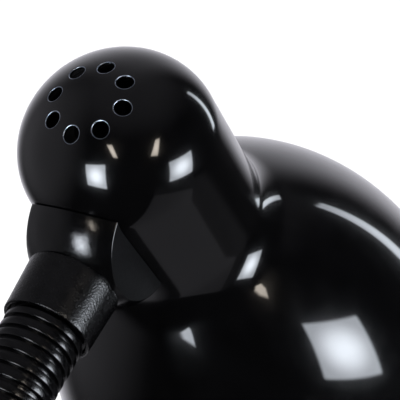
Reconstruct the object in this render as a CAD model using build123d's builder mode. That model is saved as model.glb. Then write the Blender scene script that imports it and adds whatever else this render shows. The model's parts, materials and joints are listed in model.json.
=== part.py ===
from build123d import *

import os
from math import atan2, cos, degrees, radians, sin, sqrt, tan

# Gooseneck desk lamp. Millimetres, +Z up, the lamp faces -Y. The origin is the centre of the base's
# underside, which is also the foot of the neck's axis. Everything is symmetric about the plane X = 0.

os.makedirs("parts", exist_ok=True)

# ---------------------------------------------------------------- driving dimensions
# Shade: a dome, a straight housing, a concave fillet and a bell, all round one axis.
housing_radius = 27.0
dome_height = 23.3
dome_side_arc = 22.0
housing_length = 33.2
housing_end_radius = 25.95
flare_fillet = 15.0
flare_angle = 44.1
bell_curve = 90.0
skirt_length = 12.0
shade_wall = 0.8
rim_bead = 1.3
vent_count = 8
vent_radius = 2.2
vent_ring = 10.35
opening_width = 16.4
shade_dip = 47.4

# Knuckle: a ball with two flat cheeks, fixed on the housing. The collar turns on it.
ball_radius = 20.4
ball_along = 10.6
ball_out = 19.6
cheek_half = 13.2
cheek_edge = 0.45
ball_inside = 16.5
cavity_half = 9.6
cavity_along = 13.4
tilt_at_rest = 5.2
tilt_limit = 18.0
slot_half = 5.25
knuckle_screw_pitch = 30.6
screw_radius = 1.25
screw_clearance = 1.4
screw_head = 2.4
screw_head_height = 1.6
screw_reach = ball_out + 11.2

# Collar at the top of the neck.
collar_top_radius = 12.7
collar_end_radius = 12.15
collar_end = 31.9
collar_floor = 23.3
seat_gap = 0.05

# Neck: a ribbed sleeve over a steel core, bent in short straight spans.
sleeve_radius = 10.9
rib_depth = 1.2
rib_pitch = 3.45
rib_width = 2.05
ribs_per_span = 5
span = 6 * rib_pitch
span_count = 10
sleeve_bore = 8.65
core_radius = 8.6
core_bore = 4.6
core_gap = 3.6
bend_radius = 110.0
sleeve_fit = 0.3

# Hollow threaded tubes (M10 x 1) and their nuts.
nipple_radius = 5.0
nipple_bore = 3.6
nipple_hole = 5.1
nut_flats = 14.0
nut_height = 3.2

# Base.
base_radius = 80.0
base_height = 28.0
base_shoulder = 14.0
cover_wall = 1.0
pad_thickness = 2.0
plate_thickness = 1.2
ballast_radius = 72.0
ballast_top = 18.0
chamber_half = 15.0
chamber_front = -64.0
socket_foot_radius = 16.0
socket_height = 24.0
socket_depth = 8.0

# Screws in the base: the underside's, the bridge's, the cord clamp's and the terminals'.
base_screw_ring = 50.0
base_screw_count = 4
base_screw_radius = 2.0
base_screw_length = 8.5
bridge_screw_pitch = 54.0
bridge_screw_radius = 2.0
bridge_screw_length = 8.5
bridge_width = 20.0
bridge_thickness = 2.5
thread_gap = 0.02
plate_screw_hole = 2.2

# Cord inlet, cord clamp and terminal block.
gland_z = 9.2
gland_hole = 4.2
clamp_y = 58.0
clamp_height = 9.5
clamp_screw_pitch = 18.0
clamp_screw_radius = 1.5
cord_radius = 3.0
terminal_y = 32.0
terminal_height = 12.0
terminal_pitch = 8.0
terminal_screw_radius = 1.5
wire_radius = 1.6

# Rocker switch.
switch_y = -46.0
rocker_radius = 8.8
rocker_half_width = 5.8
rocker_rest = 10.0
rocker_gap = 0.3
bezel_x = 21.0
bezel_y = 15.0
bezel_height = 1.6
bezel_edge = 0.5
rocker_edge = 0.4
rocker_pin_radius = 1.2
rocker_pin_hole = 1.25
tag_pitch = 7.5

# ---------------------------------------------------------------- the neck's centreline
lateral = Vector(1, 0, 0)
socket_top = base_height + socket_height
neck_lean = shade_dip + tilt_at_rest
half_span = span / 2
neck_length = span * span_count
arc_length = bend_radius * radians(neck_lean)
neck_straight = neck_length - arc_length - half_span


def neck_direction(angle):
    return Vector(0, -sin(angle), cos(angle))


def neck_point(distance):
    """Point of the centreline at a distance along it from the top of the base socket."""
    if distance <= neck_straight:
        return Vector(0, 0, socket_top + distance)
    angle = min(distance - neck_straight, arc_length) / bend_radius
    past = max(distance - neck_straight - arc_length, 0)
    bend = Vector(0, -bend_radius * (1 - cos(angle)), bend_radius * sin(angle))
    return Vector(0, 0, socket_top + neck_straight) + bend + neck_direction(angle) * past


hinges = [neck_point((k + 0.5) * span) for k in range(span_count)]
neck_top = neck_point(neck_length)
head_direction = neck_direction(radians(neck_lean))

# ---------------------------------------------------------------- the head's frame
# along: the shade's axis, from dome to bell. out: from that axis towards the knuckle.
along = Vector(0, -cos(radians(shade_dip)), -sin(radians(shade_dip)))
out = along.cross(lateral) * -1
collar_axis = head_direction * -1
ball = neck_top - collar_axis * collar_end
centre = ball - along * ball_along - out * ball_out
shade_axis = Axis(centre, along)


def head_point(a, o, x=0.0):
    return centre + along * a + out * o + lateral * x


def section(origin, axis):
    """Plane through an axis: its x is the lateral direction, its y runs along the axis."""
    return Plane(origin=origin, x_dir=lateral, z_dir=lateral.cross(axis))


head_side = Plane(origin=centre, x_dir=along, z_dir=lateral)
head_section = section(centre, along)
collar_section = section(ball, collar_axis)
base_section = section(Vector(0, 0, 0), Vector(0, 0, 1))
collar_line = Axis(ball, collar_axis)


def save(solid, name):
    solid.label = name
    export_step(solid, f"parts/{name}.step")


def ring(plane, axis, inner, outer, start, end):
    """Tube round an axis, between two distances along it."""
    with BuildPart() as tube:
        with BuildSketch(plane):
            with BuildLine():
                Polyline((inner, start), (outer, start), (outer, end), (inner, end), close=True)
            make_face()
        revolve(axis=axis)
    return tube.part


def turned(plane, axis, points):
    """Solid of revolution whose half section is a closed line of (radius, distance) points."""
    with BuildPart() as body:
        with BuildSketch(plane):
            with BuildLine():
                Polyline(*points, close=True)
            make_face()
        revolve(axis=axis)
    return body.part


def hex_nut(origin, axis, start, flats=nut_flats, height=nut_height, hole=nipple_radius + 0.02):
    """Plain nut that starts at a distance along an axis."""
    face = Plane(origin=origin + axis * start, x_dir=lateral, z_dir=axis)
    with BuildPart() as nut:
        with BuildSketch(face):
            RegularPolygon(radius=flats / 2, side_count=6, major_radius=False)
            Circle(hole, mode=Mode.SUBTRACT)
        extrude(amount=height)
    return nut.part


def screw(tip, axis, length, radius, head_radius, head_height):
    """Pan-head screw: its tip lies at a point, and the head is at the far end of the axis."""
    start = Plane(origin=tip, x_dir=lateral, z_dir=axis)
    with BuildPart() as body:
        with BuildSketch(start):
            Circle(radius)
        extrude(amount=length)
        with BuildSketch(start.offset(length)):
            Circle(head_radius)
        extrude(amount=head_height)
        with BuildSketch(start.offset(length + head_height)):
            Rectangle(head_radius * 1.3, radius * 0.4)
        extrude(amount=-head_height / 2, mode=Mode.SUBTRACT)
    return body.part


# ---------------------------------------------------------------- shade
# The dome is two tangent arcs: a side arc that runs into the housing and a flatter crown arc.
side_centre = housing_radius - dome_side_arc
crown_arc = (dome_height**2 + side_centre**2 - dome_side_arc**2) / (2 * (dome_height - dome_side_arc))
crown_centre = crown_arc - dome_height
crown_half_angle = atan2(side_centre, crown_centre)
fillet_end_along = housing_length + flare_fillet * sin(radians(flare_angle))
fillet_end_out = housing_end_radius + flare_fillet * (1 - cos(radians(flare_angle)))
bell_end_along = fillet_end_along + bell_curve * sin(radians(flare_angle))
bell_radius = fillet_end_out + bell_curve * (1 - cos(radians(flare_angle)))
shade_end = bell_end_along + skirt_length


def flare_point(angle, inset):
    """Point of the bell's arc where its slope is an angle, set in from the outer face."""
    slope = radians(angle)
    a = bell_end_along - bell_curve * sin(slope) + inset * sin(slope)
    return (a, bell_radius - bell_curve * (1 - cos(slope)) - inset * cos(slope))


def fillet_point(angle, inset):
    slope = radians(angle)
    a = housing_length + flare_fillet * sin(slope) + inset * sin(slope)
    return (a, housing_end_radius + flare_fillet * (1 - cos(slope)) - inset * cos(slope))


def crown_point(angle, inset):
    reach = crown_arc - inset
    return (crown_centre - reach * cos(angle), reach * sin(angle))


def side_point(angle, inset):
    reach = dome_side_arc - inset
    return (-reach * cos(angle), side_centre + reach * sin(angle))


def dome_outline(inset):
    """Half section of the dome, from its tip on the axis to the housing."""
    side_middle = (crown_half_angle + radians(90)) / 2
    ThreePointArc(
        crown_point(0, inset), crown_point(crown_half_angle / 2, inset), crown_point(crown_half_angle, inset)
    )
    ThreePointArc(
        crown_point(crown_half_angle, inset), side_point(side_middle, inset), (0, housing_radius - inset)
    )


def shade_outline(inset):
    """Half section from the dome's tip to the mouth, (along, out), set in from the outer face."""
    dome_outline(inset)
    Line((0, housing_radius - inset), fillet_point(0, inset))
    ThreePointArc(fillet_point(0, inset), fillet_point(flare_angle / 2, inset), fillet_point(flare_angle, inset))
    ThreePointArc(fillet_point(flare_angle, inset), flare_point(flare_angle / 2, inset), flare_point(0, inset))
    Line(flare_point(0, inset), (shade_end, bell_radius - inset))


with BuildPart() as shade:
    with BuildSketch(head_side):
        with BuildLine():
            shade_outline(0)
            Line((shade_end, bell_radius), (shade_end, 0))
            Line((shade_end, 0), (-dome_height, 0))
        make_face()
        with BuildLine():
            shade_outline(shade_wall)
            Line((shade_end, bell_radius - shade_wall), (shade_end, 0))
            Line((shade_end, 0), (-dome_height + shade_wall, 0))
        make_face(mode=Mode.SUBTRACT)
    revolve(axis=shade_axis)
    with BuildSketch(head_side):
        with Locations((shade_end, bell_radius - rim_bead / 2)):
            Circle(rim_bead)
    revolve(axis=shade_axis)
    # Round vents in the dome, punched along the axis.
    with BuildSketch(Plane(origin=head_point(-dome_height - 1, 0), x_dir=out, z_dir=along)):
        with PolarLocations(vent_ring, vent_count):
            Circle(vent_radius)
    extrude(amount=dome_height, mode=Mode.SUBTRACT)
    # Oval opening under the knuckle, for the joint's stud and the flex.
    with BuildSketch(Plane(origin=head_point(ball_along, 0), x_dir=along, z_dir=out)):
        SlotOverall(2 * cavity_along, opening_width)
    extrude(amount=housing_radius + 2, mode=Mode.SUBTRACT)
    # Two holes for the knuckle's screws.
    with BuildSketch(Plane(origin=head_point(ball_along, 0), x_dir=along, z_dir=out)):
        with GridLocations(knuckle_screw_pitch, 0, 2, 1):
            Circle(screw_clearance)
    extrude(amount=housing_radius + 2, mode=Mode.SUBTRACT)
save(shade.part, "shade")

# ---------------------------------------------------------------- knuckle
# Solid outline of the housing, a hair larger than the shade's, which trims the knuckle's foot.
foot_gap = 0.03
with BuildPart() as housing_envelope:
    with BuildSketch(head_side):
        with BuildLine():
            dome_outline(-foot_gap)
            Line((0, housing_radius + foot_gap), fillet_point(0, -foot_gap))
            Line(fillet_point(0, -foot_gap), (housing_length, 0))
            Line((housing_length, 0), (-dome_height - foot_gap, 0))
        make_face()
    revolve(axis=shade_axis)

ball_side = Plane(origin=ball, x_dir=along, z_dir=lateral)


def slot_corner(angle, reach, side):
    turn = radians(angle)
    across = side * slot_half
    return (reach * sin(turn) + across * cos(turn), reach * cos(turn) - across * sin(turn))


with BuildPart() as knuckle:
    with BuildSketch(ball_side):
        Circle(ball_radius)
        with Locations((0, -ball_radius)):
            Rectangle(3 * ball_radius, 2 * ball_radius, mode=Mode.SUBTRACT)
    revolve(axis=Axis(ball, along), revolution_arc=360)
    with BuildSketch(ball_side):
        Rectangle(3 * ball_radius, 3 * ball_radius)
    extrude(amount=cheek_half, both=True, mode=Mode.INTERSECT)
    fillet(knuckle.edges().filter_by(GeomType.CIRCLE), cheek_edge)
    # Hollow for the clamping washer, spring and nut.
    with BuildSketch(ball_side):
        Circle(ball_inside)
        Rectangle(2 * cavity_along, 2 * ball_inside, mode=Mode.INTERSECT)
    extrude(amount=cavity_half, both=True, mode=Mode.SUBTRACT)
    # Slot that lets the stud swing between the tilt limits.
    with BuildSketch(ball_side):
        with BuildLine():
            Polyline(
                slot_corner(tilt_limit, ball_radius / 2, 1),
                slot_corner(tilt_limit, 1.3 * ball_radius, 1),
                slot_corner(-tilt_limit, 1.3 * ball_radius, -1),
                slot_corner(-tilt_limit, ball_radius / 2, -1),
                close=True,
            )
        make_face()
    extrude(amount=slot_half, both=True, mode=Mode.SUBTRACT)
    with BuildSketch(Plane(origin=head_point(ball_along, 0), x_dir=along, z_dir=out)):
        with GridLocations(knuckle_screw_pitch, 0, 2, 1):
            Circle(screw_radius + 0.02)
    extrude(amount=screw_reach + 0.4, mode=Mode.SUBTRACT)
    add(housing_envelope.part, mode=Mode.SUBTRACT)
save(knuckle.part, "knuckle")

knuckle_screw_along = [ball_along - knuckle_screw_pitch / 2, ball_along + knuckle_screw_pitch / 2]
lower_wall = housing_radius + (housing_end_radius - housing_radius) * knuckle_screw_along[1] / housing_length
lower_seat = sqrt((lower_wall - shade_wall) ** 2 - screw_head**2) - 0.05
bracket_face = 22.9
bracket_sheet = 1.2
with BuildPart() as knuckle_screws:
    for place, seat in zip(knuckle_screw_along, (bracket_face - bracket_sheet - 0.05, lower_seat)):
        tip = head_point(place, screw_reach)
        add(screw(tip, out * -1, screw_reach - seat, screw_radius, screw_head, screw_head_height))
save(knuckle_screws.part, "knuckle_screws")

# ---------------------------------------------------------------- collar and its stud
rim_distance = sqrt((ball_radius + seat_gap) ** 2 - collar_top_radius**2)
seat_hole_distance = sqrt((ball_radius + seat_gap) ** 2 - nipple_hole**2)
seat_middle = radians(25)
with BuildPart() as collar:
    with BuildSketch(collar_section):
        with BuildLine():
            ThreePointArc(
                (collar_top_radius, rim_distance),
                ((ball_radius + seat_gap) * sin(seat_middle), (ball_radius + seat_gap) * cos(seat_middle)),
                (nipple_hole, seat_hole_distance),
            )
            Polyline(
                (nipple_hole, seat_hole_distance),
                (nipple_hole, collar_floor),
                (sleeve_radius + sleeve_fit, collar_floor),
                (sleeve_radius + sleeve_fit, collar_end),
                (collar_end_radius, collar_end),
                (collar_top_radius, rim_distance),
            )
        make_face()
    revolve(axis=collar_line)
save(collar.part, "collar")

stud_start = 7.2
stud_end = collar_floor + 5.0
save(ring(collar_section, collar_line, nipple_bore, nipple_radius, stud_start, stud_end), "stud")

washer_radius = 9.0
washer_flat = 12.6
washer_ball = ball_inside - seat_gap
with BuildPart() as cup_washer:
    with BuildSketch(collar_section):
        with BuildLine():
            Polyline(
                (washer_radius, sqrt(washer_ball**2 - washer_radius**2)),
                (washer_radius, washer_flat),
                (nipple_hole, washer_flat),
                (nipple_hole, sqrt(washer_ball**2 - nipple_hole**2)),
            )
            ThreePointArc(
                (nipple_hole, sqrt(washer_ball**2 - nipple_hole**2)),
                (washer_ball * sin(seat_middle), washer_ball * cos(seat_middle)),
                (washer_radius, sqrt(washer_ball**2 - washer_radius**2)),
            )
        make_face()
    revolve(axis=collar_line)
save(cup_washer.part, "cup_washer")

# Conical disc spring between the washer and the nut.
spring_low = 11.1
spring_points = [
    (nipple_hole, spring_low),
    (nipple_hole, spring_low + 0.6),
    (8.0, washer_flat),
    (8.0, washer_flat - 0.6),
]
save(turned(collar_section, collar_line, spring_points), "disc_spring")
save(hex_nut(ball, collar_axis, spring_low - nut_height, flats=12.0), "stud_nut")

# ---------------------------------------------------------------- neck
def ribbed(origin, axis, start, end, first_rib, ribs):
    """Ribbed sleeve from start to end along an axis, with its first rib at a given place."""
    valley = sleeve_radius - rib_depth
    points = [(sleeve_bore, start), (valley, start)]
    for k in range(ribs):
        low = first_rib + k * rib_pitch
        points += [(valley, low), (sleeve_radius, low)]
        points += [(sleeve_radius, low + rib_width), (valley, low + rib_width)]
    points += [(valley, end), (sleeve_bore, end)]
    tidy = [p for k, p in enumerate(points) if k == 0 or p != points[k - 1]]
    return turned(section(origin, axis), Axis(origin, axis), tidy)


rib_run = ribs_per_span * rib_width + (ribs_per_span - 1) * (rib_pitch - rib_width)
for number in range(1, span_count):
    low, high = hinges[number - 1], hinges[number]
    middle = (low + high) * 0.5
    axis = (high - low).normalized()
    reach = (high - low).length
    save(
        ribbed(middle, axis, -rib_run / 2, rib_run / 2, -rib_run / 2, ribs_per_span),
        f"neck_sleeve_{number}",
    )
    core_half = (reach - core_gap) / 2
    save(
        ring(section(middle, axis), Axis(middle, axis), core_bore, core_radius, -core_half, core_half),
        f"neck_core_{number}",
    )

# The neck's two ends: the lowest stub stands in the base socket, the highest in the collar.
sleeve_gap = span - rib_run
core_step = 5.2
up = Vector(0, 0, 1)
foot = Vector(0, 0, socket_top)
foot_end = half_span - sleeve_gap / 2
foot_rib = foot_end - rib_width - 3 * rib_pitch
foot_start = 0.3 - socket_depth
save(ribbed(foot, up, foot_start, foot_end, foot_rib, 4), "neck_sleeve_foot")
foot_core_end = half_span - core_gap / 2
foot_core = [
    (nipple_radius + 0.05, foot_start),
    (core_radius, foot_start),
    (core_radius, foot_core_end),
    (core_bore, foot_core_end),
    (core_bore, foot_start + core_step),
    (nipple_radius + 0.05, foot_start + core_step),
]
save(turned(section(foot, up), Axis(foot, up), foot_core), "neck_core_foot")

top_start = collar_floor + 0.2
top_end = collar_end + half_span - sleeve_gap / 2
save(
    ribbed(ball, collar_axis, top_start, top_end, top_end - rib_width - 3 * rib_pitch, 4),
    "neck_sleeve_top",
)
top_core_end = collar_end + half_span - core_gap / 2
top_core = [
    (nipple_radius + 0.05, top_start),
    (core_radius, top_start),
    (core_radius, top_core_end),
    (core_bore, top_core_end),
    (core_bore, top_start + core_step),
    (nipple_radius + 0.05, top_start + core_step),
]
save(turned(collar_section, collar_line, top_core), "neck_core_top")

# ---------------------------------------------------------------- lampholder
# Bracket: a strip bent at a right angle. Its short leg sits under the knuckle's upper screw, its long
# leg crosses the housing and carries the lampholder.
bracket_at = -9.8
bracket_half_width = 4.0
bracket_eye = 8.0
bracket_foot = -1.8
cap_top = bracket_at + bracket_sheet
with BuildPart() as holder_bracket:
    with BuildSketch(head_side):
        with BuildLine():
            Polyline(
                (bracket_at, -bracket_eye),
                (bracket_at, bracket_face),
                (bracket_foot, bracket_face),
                (bracket_foot, bracket_face - bracket_sheet),
                (cap_top, bracket_face - bracket_sheet),
                (cap_top, -bracket_eye),
                close=True,
            )
        make_face()
    extrude(amount=bracket_half_width, both=True)
    with BuildSketch(Plane(origin=head_point(bracket_at - 1, 0), x_dir=out, z_dir=along)):
        Circle(bracket_eye)
    extrude(amount=bracket_sheet, mode=Mode.ADD)
    with BuildSketch(Plane(origin=head_point(bracket_at - 2, 0), x_dir=out, z_dir=along)):
        Circle(nipple_hole)
    extrude(amount=6, mode=Mode.SUBTRACT)
    with BuildSketch(Plane(origin=head_point(knuckle_screw_along[0], 0), x_dir=along, z_dir=out)):
        Circle(screw_clearance)
    extrude(amount=2 * bracket_face, mode=Mode.SUBTRACT)
save(holder_bracket.part, "holder_bracket")

holder_radius = 19.5
cap_end = 14.0
body_end = 40.0
block_start = 6.0
block_end = 16.4
block_radius = 17.2
shell_radius = 13.2
shell_sheet = 0.4
contact_pitch = 22.0
contact_screw_radius = 1.75
save(ring(head_section, shade_axis, nipple_bore, nipple_radius, -15.0, cap_top + 2.4), "holder_nipple")
save(hex_nut(centre, along, bracket_at - 1 - nut_height - 0.05), "holder_nut")
cap_points = [
    (nipple_radius + 0.05, cap_top + 0.05),
    (12.0, cap_top + 0.05),
    (17.5, -5.0),
    (holder_radius, -1.0),
    (holder_radius, cap_end),
    (holder_radius - 2, cap_end),
    (holder_radius - 2, 0.0),
    (11.0, cap_top + 2.4),
    (nipple_radius + 0.05, cap_top + 2.4),
]
save(turned(head_section, shade_axis, cap_points), "holder_cap")

with BuildPart() as contact_block:
    with BuildSketch(Plane(origin=head_point(block_start, 0), x_dir=out, z_dir=along)):
        Circle(block_radius)
    extrude(amount=block_end - block_start)
    with BuildSketch(Plane(origin=head_point(block_start, 0), x_dir=lateral, z_dir=along)):
        with GridLocations(contact_pitch, 0, 2, 1):
            Circle(contact_screw_radius + 0.05)
    extrude(amount=6, mode=Mode.SUBTRACT)
save(contact_block.part, "contact_block")

with BuildPart() as contact_screws:
    for side in (-contact_pitch / 2, contact_pitch / 2):
        add(screw(head_point(block_start + 5.5, 0, side), along * -1, 5.6, contact_screw_radius, 3.2, 2.0))
save(contact_screws.part, "contact_screws")

body_points = [
    (shell_radius + shell_sheet + 0.05, block_end + 0.05),
    (block_radius + 0.1, block_end + 0.05),
    (block_radius + 0.1, cap_end + 0.05),
    (holder_radius, cap_end + 0.05),
    (holder_radius, body_end - 1.5),
    (holder_radius - 1.5, body_end),
    (shell_radius + shell_sheet + 0.05, body_end),
]
save(turned(head_section, shade_axis, body_points), "holder_body")

shell_start = 20.3
shell_end = body_end - 1.2
screw_shell = ring(head_section, shade_axis, shell_radius, shell_radius + shell_sheet, shell_start, shell_end)
save(screw_shell, "screw_shell")

with BuildPart() as centre_contact:
    with BuildSketch(head_side):
        with BuildLine():
            Polyline(
                (block_end + 0.05, -7.0),
                (block_end + 0.05, -3.5),
                (block_end + 2.6, 1.0),
                (block_end + 2.6, 4.0),
                (block_end + 3.2, 4.0),
                (block_end + 3.2, 0.7),
                (block_end + 0.65, -3.8),
                (block_end + 0.65, -7.0),
                close=True,
            )
        make_face()
    extrude(amount=2.5, both=True)
save(centre_contact.part, "centre_contact")

with BuildPart() as side_contact:
    leaf = block_end + 0.05
    with BuildSketch(head_side):
        with BuildLine():
            Polyline(
                (leaf, 9.5),
                (leaf, 12.9),
                (leaf + 3.2, 12.9),
                (leaf + 3.2, 12.3),
                (leaf + 0.6, 12.3),
                (leaf + 0.6, 9.5),
                close=True,
            )
        make_face()
    extrude(amount=1.8, both=True)
save(side_contact.part, "side_contact")

# ---------------------------------------------------------------- base
cover_bottom = pad_thickness + plate_thickness
base_axis = Axis.Z
save(ring(base_section, base_axis, 0, base_radius - 3, 0, pad_thickness), "foot_pad")
with BuildPart() as base_plate:
    with BuildSketch(Plane.XY.offset(pad_thickness)):
        Circle(base_radius - 2)
    extrude(amount=plate_thickness)
    with BuildSketch(Plane.XY.offset(pad_thickness)):
        with PolarLocations(base_screw_ring, base_screw_count, start_angle=45):
            Circle(plate_screw_hole)
    extrude(amount=plate_thickness, mode=Mode.SUBTRACT)
save(base_plate.part, "base_plate")

with BuildPart() as ballast:
    with BuildSketch(Plane.XY.offset(cover_bottom)):
        Circle(ballast_radius)
        with Locations((0, (chamber_front + base_radius) / 2)):
            Rectangle(2 * chamber_half, base_radius - chamber_front, mode=Mode.SUBTRACT)
    extrude(amount=ballast_top - cover_bottom)
    with BuildSketch(Plane.XY.offset(cover_bottom)):
        with PolarLocations(base_screw_ring, base_screw_count, start_angle=45):
            Circle(base_screw_radius + thread_gap)
    extrude(amount=base_screw_length + 0.5, mode=Mode.SUBTRACT)
    with BuildSketch(Plane.XY.offset(ballast_top)):
        with GridLocations(bridge_screw_pitch, 0, 2, 1):
            Circle(bridge_screw_radius + thread_gap)
    extrude(amount=0.5 - bridge_screw_length, mode=Mode.SUBTRACT)
save(ballast.part, "ballast")

inner_radius = base_radius - cover_wall
with BuildPart() as base_cover:
    with BuildSketch(base_section):
        with BuildLine():
            Line((0, base_height), (base_radius - base_shoulder, base_height))
            RadiusArc(
                (base_radius - base_shoulder, base_height),
                (base_radius, base_height - base_shoulder),
                base_shoulder,
            )
            Polyline(
                (base_radius, base_height - base_shoulder),
                (base_radius, pad_thickness),
                (inner_radius, pad_thickness),
                (inner_radius, base_height - base_shoulder),
            )
            RadiusArc(
                (inner_radius, base_height - base_shoulder),
                (base_radius - base_shoulder, base_height - cover_wall),
                -(base_shoulder - cover_wall),
            )
            Polyline(
                (base_radius - base_shoulder, base_height - cover_wall),
                (0, base_height - cover_wall),
                (0, base_height),
            )
        make_face()
    revolve(axis=base_axis)
    with BuildSketch(Plane.XY.offset(base_height)):
        Circle(nipple_hole)
        with Locations((0, switch_y)):
            Rectangle(bezel_x - 1.8, bezel_y - 1.8)
    extrude(amount=-2 * cover_wall, mode=Mode.SUBTRACT)
    with BuildSketch(Plane(origin=(0, base_radius + 2, gland_z), x_dir=(1, 0, 0), z_dir=(0, -1, 0))):
        Circle(gland_hole)
    extrude(amount=6, mode=Mode.SUBTRACT)
save(base_cover.part, "base_cover")

socket_points = [
    (nipple_hole, base_height),
    (socket_foot_radius, base_height),
    (socket_foot_radius, base_height + 3),
    (socket_foot_radius - 1.6, base_height + 5),
    (collar_top_radius, socket_top),
    (sleeve_radius + sleeve_fit, socket_top),
    (sleeve_radius + sleeve_fit, socket_top - socket_depth),
    (nipple_hole, socket_top - socket_depth),
]
save(turned(base_section, base_axis, socket_points), "base_socket")
hub_nipple_end = socket_top + foot_start + core_step - 0.2
save(ring(base_section, base_axis, nipple_bore, nipple_radius, 11.5, hub_nipple_end), "hub_nipple")
bar_top = ballast_top + bridge_thickness
save(ring(base_section, base_axis, nipple_hole, 9.0, bar_top, base_height - cover_wall), "hub_spacer")
save(hex_nut(Vector(0, 0, 0), up, ballast_top - nut_height), "hub_nut")

with BuildPart() as bridge_bar:
    with BuildSketch(Plane.XY.offset(ballast_top)):
        SlotOverall(bridge_screw_pitch + 0.7 * bridge_width, bridge_width)
        Circle(nipple_hole, mode=Mode.SUBTRACT)
        with GridLocations(bridge_screw_pitch, 0, 2, 1):
            Circle(plate_screw_hole, mode=Mode.SUBTRACT)
    extrude(amount=bridge_thickness)
save(bridge_bar.part, "bridge_bar")

with BuildPart() as bridge_screws:
    for x in (-bridge_screw_pitch / 2, bridge_screw_pitch / 2):
        tip = Vector(x, 0, bar_top - bridge_screw_length)
        add(screw(tip, up, bridge_screw_length, bridge_screw_radius, 3.8, 2.4))
save(bridge_screws.part, "bridge_screws")

with BuildPart() as base_screws:
    with BuildSketch(Plane.XY.offset(pad_thickness)):
        with PolarLocations(base_screw_ring, base_screw_count, start_angle=45):
            Circle(base_screw_radius)
    extrude(amount=base_screw_length)
save(base_screws.part, "base_screws")

# Rocker switch, set in the cover in front of the neck. The rocker turns about Y.
switch_foot = 9.0
pivot_z = base_height - 0.6
window_x = rocker_radius + rocker_gap
window_y = rocker_half_width + rocker_gap
with BuildPart() as switch_body:
    with BuildSketch(Plane.XY.offset(base_height)):
        with Locations((0, switch_y)):
            RectangleRounded(bezel_x, bezel_y, 1.5)
    extrude(amount=bezel_height)
    with BuildSketch(Plane.XY.offset(switch_foot)):
        with Locations((0, switch_y)):
            Rectangle(bezel_x - 2, bezel_y - 2)
    extrude(amount=base_height - switch_foot)
    with BuildSketch(Plane.XY.offset(switch_foot + 6)):
        with Locations((0, switch_y)):
            Rectangle(2 * window_x - 0.2, 2 * window_y - 0.2)
    extrude(amount=base_height, mode=Mode.SUBTRACT)
    with BuildSketch(Plane(origin=(0, switch_y, pivot_z), x_dir=(1, 0, 0), z_dir=(0, -1, 0))):
        Circle(rocker_pin_hole)
    extrude(amount=bezel_y / 2 - 1.2, both=True, mode=Mode.SUBTRACT)
    fillet(switch_body.faces().sort_by(Axis.Z)[-1].edges(), bezel_edge)
save(switch_body.part, "switch_body")

# The rocker's top is two flats that meet at the middle; the whole piece rests tipped to one side.
tip = radians(rocker_rest)
pivot_plane = Plane(origin=(0, switch_y, pivot_z), x_dir=(cos(tip), 0, sin(tip)), z_dir=(0, -1, 0))
crown = 4.4
crown_drop = 1.9
skirt = -4.0
with BuildPart() as rocker:
    with BuildSketch(pivot_plane):
        Circle(rocker_radius)
        with BuildLine():
            Polyline(
                (-rocker_radius - 1, skirt),
                (rocker_radius + 1, skirt),
                (rocker_radius + 1, crown),
                (0, crown - crown_drop),
                (-rocker_radius - 1, crown),
                close=True,
            )
        make_face(mode=Mode.INTERSECT)
    extrude(amount=rocker_half_width, both=True)
    fillet(rocker.faces().filter_by(Axis.Y).edges(), rocker_edge)
    with BuildSketch(pivot_plane):
        Circle(rocker_pin_radius)
    extrude(amount=rocker_half_width + 0.35, both=True)
save(rocker.part, "rocker")

with BuildPart() as switch_tags:
    with BuildSketch(Plane.XY.offset(switch_foot)):
        with Locations((0, switch_y)):
            with GridLocations(tag_pitch, 0, 2, 1):
                Rectangle(0.8, 4.8)
    extrude(amount=-4.5)
save(switch_tags.part, "switch_tags")

# Cord inlet: a grommet with a groove that holds it in the cover's wall.
inlet_line = Axis((0, 0, gland_z), (0, 1, 0))
gland_points = [
    (3.2, base_radius - 5),
    (5.6, base_radius - 5),
    (5.6, inner_radius - 0.3),
    (4.15, inner_radius - 0.3),
    (4.15, base_radius + 0.05),
    (5.6, base_radius + 0.05),
    (4.8, base_radius + 3.0),
    (3.2, base_radius + 3.0),
]
save(turned(section(Vector(0, 0, gland_z), Vector(0, 1, 0)), inlet_line, gland_points), "cord_gland")

with BuildPart() as cord_clamp:
    with BuildSketch(Plane.XY.offset(cover_bottom)):
        with Locations((0, clamp_y)):
            RectangleRounded(26, 10, 3)
    extrude(amount=clamp_height)
    with BuildSketch(Plane(origin=(0, clamp_y, gland_z), x_dir=(1, 0, 0), z_dir=(0, 1, 0))):
        Circle(cord_radius)
    extrude(amount=10, both=True, mode=Mode.SUBTRACT)
    with BuildSketch(Plane.XY.offset(cover_bottom + clamp_height)):
        with Locations((0, clamp_y)):
            with GridLocations(clamp_screw_pitch, 0, 2, 1):
                Circle(clamp_screw_radius + 0.1)
    extrude(amount=0.5 - clamp_height, mode=Mode.SUBTRACT)
save(cord_clamp.part, "cord_clamp")
with BuildPart() as clamp_screws:
    for x in (-clamp_screw_pitch / 2, clamp_screw_pitch / 2):
        tip = Vector(x, clamp_y, cover_bottom + 1.5)
        add(screw(tip, up, clamp_height - 1.5, clamp_screw_radius, 2.8, 1.8))
save(clamp_screws.part, "clamp_screws")

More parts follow.
